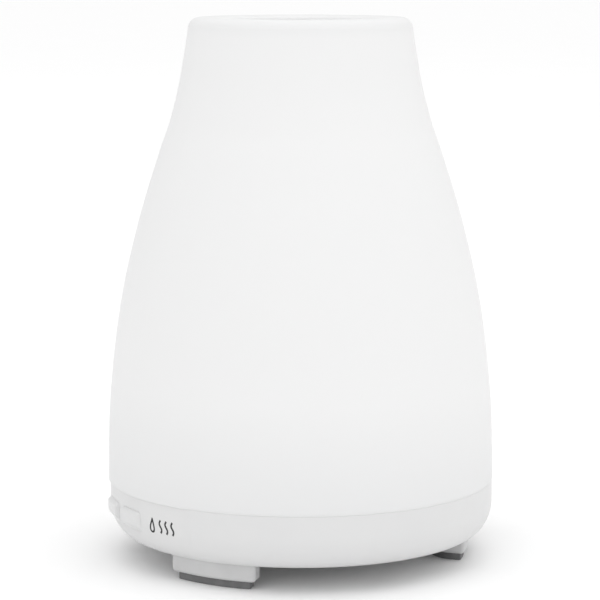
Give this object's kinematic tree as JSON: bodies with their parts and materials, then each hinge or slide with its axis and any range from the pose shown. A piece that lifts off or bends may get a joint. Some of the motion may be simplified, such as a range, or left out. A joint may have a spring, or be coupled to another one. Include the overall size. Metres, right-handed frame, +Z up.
{
  "type": "ultrasonic mist humidifier",
  "caption": "Bottle-shaped table-top ultrasonic mist humidifier with a lift-off frosted cover, inner mist guide, water tank, push buttons, fan and rubber-padded feet.",
  "frame": {"origin": "on the surface it stands on, on the axis of the round body", "axes": "+Z up along the body's axis, -Y to the front midway between the two push buttons, +Y to the power inlet at the back"},
  "size_m": [0.1196, 0.1206, 0.1665],
  "materials": {
    "cover_frosted": "frosted translucent white, fine matte grain",
    "housing_satin": "satin moulded white",
    "tank_white": "smooth moulded white, slightly translucent",
    "pad_rubber": "dark grey matte rubber",
    "seal_silicone": "translucent silicone",
    "board_green": "circuit board with solder mask and copper traces",
    "black_plastic": "fine textured black",
    "steel": "zinc-plated",
    "brass": "satin",
    "copper_wire": "enamelled copper winding",
    "led_lens": "clear epoxy over a yellow die"
  },
  "bodies": {
    "base": {"water_tank": "tank_white", "air_tube": "tank_white", "base_housing": "housing_satin", "foot_pad_1": "pad_rubber", "foot_pad_2": "pad_rubber", "foot_pad_3": "pad_rubber", "base_screw_1": "steel", "base_screw_2": "steel", "base_screw_3": "steel", "light_switch": "steel", "mist_switch": "steel", "button_board": "board_green", "ultrasonic_disc": "brass", "disc_seal": "seal_silicone", "disc_retainer": "housing_satin", "retainer_screw_1": "steel", "retainer_screw_2": "steel", "retainer_screw_3": "steel", "led_board": "board_green", "led_board_screw_1": "steel", "led_board_screw_2": "steel", "led_board_screw_3": "steel", "led_1": "led_lens", "led_2": "led_lens", "led_3": "led_lens", "led_4": "led_lens", "led_5": "led_lens", "led_6": "led_lens", "main_board": "board_green", "main_board_screw_1": "steel", "main_board_screw_2": "steel", "main_board_screw_3": "steel", "main_board_screw_4": "steel", "inductor": "copper_wire", "capacitor": "black_plastic", "heatsink": "steel", "power_transistor": "black_plastic", "disc_connector": "housing_satin", "fan_connector": "housing_satin", "fan_frame": "black_plastic", "fan_screw_1": "steel", "fan_screw_2": "steel", "air_duct": "black_plastic", "power_jack": "black_plastic"},
    "inner_cover": {"inner_cover": "tank_white", "mist_chimney": "tank_white"},
    "outer_cover": {"outer_cover": "cover_frosted", "cover_funnel": "cover_frosted"},
    "light_button": {"light_button": "housing_satin", "light_switch_plunger": "black_plastic"},
    "mist_button": {"mist_button": "housing_satin", "mist_switch_plunger": "black_plastic"},
    "fan_rotor": {"fan_rotor": "black_plastic"}
  },
  "joints": [
    {"name": "inner_cover_lift", "type": "slide", "parent": "base", "child": "inner_cover", "axis": [0, 0, 1], "range_m": [0, 0.06]},
    {"name": "outer_cover_lift", "type": "slide", "parent": "inner_cover", "child": "outer_cover", "axis": [0, 0, 1], "range_m": [0, 0.13]},
    {"name": "light_button_press", "type": "slide", "parent": "base", "child": "light_button", "axis": [0, 1, 0], "range_m": [0, 0.0007], "stiffness_N_per_m": 1200},
    {"name": "mist_button_press", "type": "slide", "parent": "base", "child": "mist_button", "axis": [0, 1, 0], "range_m": [0, 0.0007], "stiffness_N_per_m": 1200},
    {"name": "fan_spin", "type": "hinge", "parent": "base", "child": "fan_rotor", "pos_m": [0, 0.03, 0.016], "axis": [0, 0, 1], "continuous": true}
  ]
}
